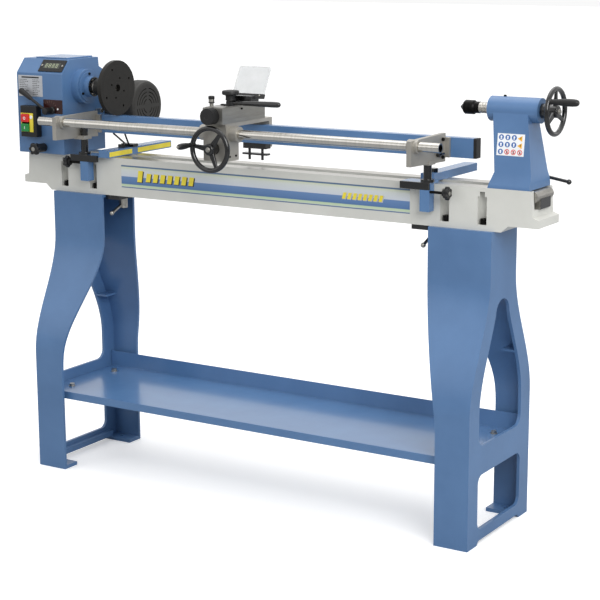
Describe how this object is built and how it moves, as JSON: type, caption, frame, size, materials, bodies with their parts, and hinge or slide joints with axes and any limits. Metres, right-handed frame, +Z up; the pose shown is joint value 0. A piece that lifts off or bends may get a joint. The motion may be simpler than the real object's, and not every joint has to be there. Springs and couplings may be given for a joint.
{
  "type": "wood lathe",
  "caption": "Floor-standing wood lathe with headstock, rear motor, faceplate, tailstock and a copying carriage on a guide tube and beam, over a long bed on two cast legs with a shelf.",
  "frame": {"origin": "on the floor, at the centre of the four anchor holes in the feet", "axes": "+X along the bed from headstock to tailstock, +Z up, the operator stands at -Y"},
  "size_m": [1.6573, 0.51, 1.137],
  "materials": {
    "blue_enamel": "semi-gloss blue-grey enamel",
    "grey_enamel": "semi-gloss light grey enamel",
    "black_enamel": "semi-gloss black",
    "black_oxide": "blackened steel",
    "steel": "turned and ground steel",
    "polished_steel": "polished steel tube",
    "cast_alloy": "linished casting",
    "dark_iron": "turned dark iron",
    "motor_grey": "satin dark grey paint",
    "black_plastic": "moulded black plastic",
    "scale_plate": "printed plate",
    "red_plastic": "red push button",
    "green_plastic": "green push button",
    "belt_rubber": "black belt",
    "clear_plastic": "clear sheet",
    "labels": "printed film labels"
  },
  "bodies": {
    "stand": {"left_leg": "blue_enamel", "right_leg": "blue_enamel", "shelf_tray": "blue_enamel", "bed_casting": "grey_enamel", "stand_bolts": "black_oxide", "decals": "labels", "bed_end_stop": "steel", "headstock_housing": "blue_enamel", "headstock_lid": "blue_enamel", "belt_cover": "blue_enamel", "spindle_bearings": "steel", "bearing_cap": "blue_enamel", "drive_belt": "belt_rubber", "motor_body": "motor_grey", "motor_fan_cover": "motor_grey", "speed_display": "black_plastic", "speed_scale_plate": "scale_plate", "switch_box": "black_plastic", "guide_tube": "polished_steel", "template_beam": "blue_enamel", "beam_end_caps": "black_plastic", "end_brackets": "cast_alloy", "bracket_posts": "black_enamel", "cross_bars": "blue_enamel", "front_blocks": "black_enamel", "stay_rods": "black_enamel", "clamp_plates": "black_enamel"},
    "spindle": {"spindle": "steel", "faceplate": "dark_iron", "spindle_pulley": "cast_alloy"},
    "motor_rotor": {"motor_shaft": "steel", "motor_pulley": "cast_alloy", "motor_fan": "black_plastic"},
    "carriage": {"carriage_saddle": "cast_alloy", "beam_guide": "black_enamel"},
    "carriage_wheel": {"carriage_handwheel": "black_enamel"},
    "carriage_grip": {"carriage_wheel_grip": "black_plastic"},
    "top_slide": {"top_slide": "cast_alloy", "cutter_holder": "black_enamel"},
    "tailstock": {"tailstock_body": "blue_enamel", "tail_clamp_plate": "dark_iron", "safety_label": "labels"},
    "tail_wheel": {"tail_handwheel": "black_enamel"},
    "tail_grip": {"tail_wheel_grip": "black_plastic"},
    "speed_lever": {"speed_lever": "black_plastic"},
    "stop_button": {"stop_button": "red_plastic"},
    "start_button": {"start_button": "green_plastic"},
    "headstock_clamp_knob": {"headstock_clamp_knob": "black_plastic"},
    "index_pin": {"index_pin": "steel"},
    "left_star_knob": {"left_star_knob": "black_plastic"},
    "right_star_knob": {"right_star_knob": "black_plastic"},
    "left_clamp_lever": {"left_clamp_lever": "steel"},
    "right_clamp_lever": {"right_clamp_lever": "steel"},
    "feed_knob": {"feed_knob": "black_plastic"},
    "slide_lever": {"slide_lever": "black_enamel"},
    "tee_knob": {"tee_knob": "black_plastic"},
    "shield": {"shield": "clear_plastic"},
    "quill": {"quill": "steel"},
    "live_centre": {"live_centre": "black_oxide"},
    "tail_clamp_lever": {"tail_clamp_lever": "black_enamel"}
  },
  "joints": [
    {"name": "spindle_spin", "type": "hinge", "parent": "stand", "child": "spindle", "pos_m": [-0.6, 0, 1.057], "axis": [1, 0, 0], "continuous": true},
    {"name": "motor_spin", "type": "hinge", "parent": "stand", "child": "motor_rotor", "pos_m": [-0.6, 0.172, 0.992], "axis": [1, 0, 0], "continuous": true},
    {"name": "speed_lever_turn", "type": "hinge", "parent": "stand", "child": "speed_lever", "pos_m": [-0.666, -0.1, 0.993], "axis": [0, 1, 0], "range_deg": [0, 100]},
    {"name": "stop_press", "type": "slide", "parent": "stand", "child": "stop_button", "axis": [0, 1, 0], "range_m": [0, 0.004], "stiffness_N_per_m": 300},
    {"name": "start_press", "type": "slide", "parent": "stand", "child": "start_button", "axis": [0, 1, 0], "range_m": [0, 0.004], "stiffness_N_per_m": 300},
    {"name": "headstock_lock_turn", "type": "hinge", "parent": "stand", "child": "headstock_clamp_knob", "pos_m": [-0.691, -0.1, 0.891], "axis": [0, 1, 0], "range_deg": [-90, 90]},
    {"name": "index_pin_press", "type": "slide", "parent": "stand", "child": "index_pin", "axis": [1, 0, 0], "range_m": [-0.007, 0], "stiffness_N_per_m": 300},
    {"name": "left_star_turn", "type": "hinge", "parent": "stand", "child": "left_star_knob", "pos_m": [-0.549, -0.084, 0.857], "axis": [1, 0, 0], "range_deg": [-180, 180]},
    {"name": "right_star_turn", "type": "hinge", "parent": "stand", "child": "right_star_knob", "pos_m": [0.499, -0.084, 0.857], "axis": [1, 0, 0], "range_deg": [-180, 180]},
    {"name": "left_clamp_turn", "type": "hinge", "parent": "stand", "child": "left_clamp_lever", "pos_m": [-0.485, 0, 0.742], "axis": [0, 0, 1], "range_deg": [-60, 60]},
    {"name": "right_clamp_turn", "type": "hinge", "parent": "stand", "child": "right_clamp_lever", "pos_m": [0.479, 0, 0.742], "axis": [0, 0, 1], "range_deg": [-60, 60]},
    {"name": "carriage_travel", "type": "slide", "parent": "stand", "child": "carriage", "axis": [1, 0, 0], "range_m": [-0.35, 0.44]},
    {"name": "carriage_wheel_turn", "type": "hinge", "parent": "carriage", "child": "carriage_wheel", "pos_m": [-0.05, -0.2, 0.937], "axis": [0, 1, 0], "range_deg": [-1070, 852]},
    {"name": "carriage_grip_spin", "type": "hinge", "parent": "carriage_wheel", "child": "carriage_grip", "pos_m": [-0.10269, -0.235, 0.94629], "axis": [0, 1, 0], "continuous": true},
    {"name": "top_slide_travel", "type": "slide", "parent": "carriage", "child": "top_slide", "axis": [0, 1, 0], "range_m": [-0.04, 0.03]},
    {"name": "feed_knob_turn", "type": "hinge", "parent": "top_slide", "child": "feed_knob", "pos_m": [-0.05, -0.2, 1.02], "axis": [0, 1, 0], "range_deg": [-3610, 2710]},
    {"name": "slide_lever_turn", "type": "hinge", "parent": "top_slide", "child": "slide_lever", "pos_m": [-0.036, -0.125, 1.047], "axis": [0, 0, 1], "range_deg": [-35, 5]},
    {"name": "tee_knob_turn", "type": "hinge", "parent": "top_slide", "child": "tee_knob", "pos_m": [-0.036, -0.125, 1.06], "axis": [0, 0, 1], "range_deg": [-180, 180]},
    {"name": "shield_tilt", "type": "hinge", "parent": "top_slide", "child": "shield", "pos_m": [-0.06, -0.07, 1.056], "axis": [1, 0, 0], "range_deg": [-15, 45]},
    {"name": "tailstock_travel", "type": "slide", "parent": "stand", "child": "tailstock", "axis": [1, 0, 0], "range_m": [-0.055, 0]},
    {"name": "tail_wheel_turn", "type": "hinge", "parent": "tailstock", "child": "tail_wheel", "pos_m": [0.796, 0, 1.057], "axis": [1, 0, 0], "range_deg": [-4050, 720]},
    {"name": "quill_travel", "type": "slide", "parent": "tailstock", "child": "quill", "axis": [1, 0, 0], "range_m": [-0.0452, 0.0082]},
    {"name": "live_centre_spin", "type": "hinge", "parent": "quill", "child": "live_centre", "pos_m": [0.58, 0, 1.057], "axis": [1, 0, 0], "continuous": true},
    {"name": "tail_grip_spin", "type": "hinge", "parent": "tail_wheel", "child": "tail_grip", "pos_m": [0.84, -0.0424, 1.0835], "axis": [1, 0, 0], "continuous": true},
    {"name": "tail_clamp_turn", "type": "hinge", "parent": "tailstock", "child": "tail_clamp_lever", "pos_m": [0.715, 0.065, 0.898], "axis": [0, 1, 0], "range_deg": [-90, 10]}
  ],
  "couplings": [
    {"joint": "motor_spin", "follows": "spindle_spin", "ratio": 1.3529},
    {"joint": "carriage_wheel_turn", "follows": "carriage_travel", "rad_per_m": -42.194},
    {"joint": "feed_knob_turn", "follows": "top_slide_travel", "rad_per_m": 1570.8},
    {"joint": "quill_travel", "follows": "tail_wheel_turn", "m_per_rad": 0.00063662}
  ]
}
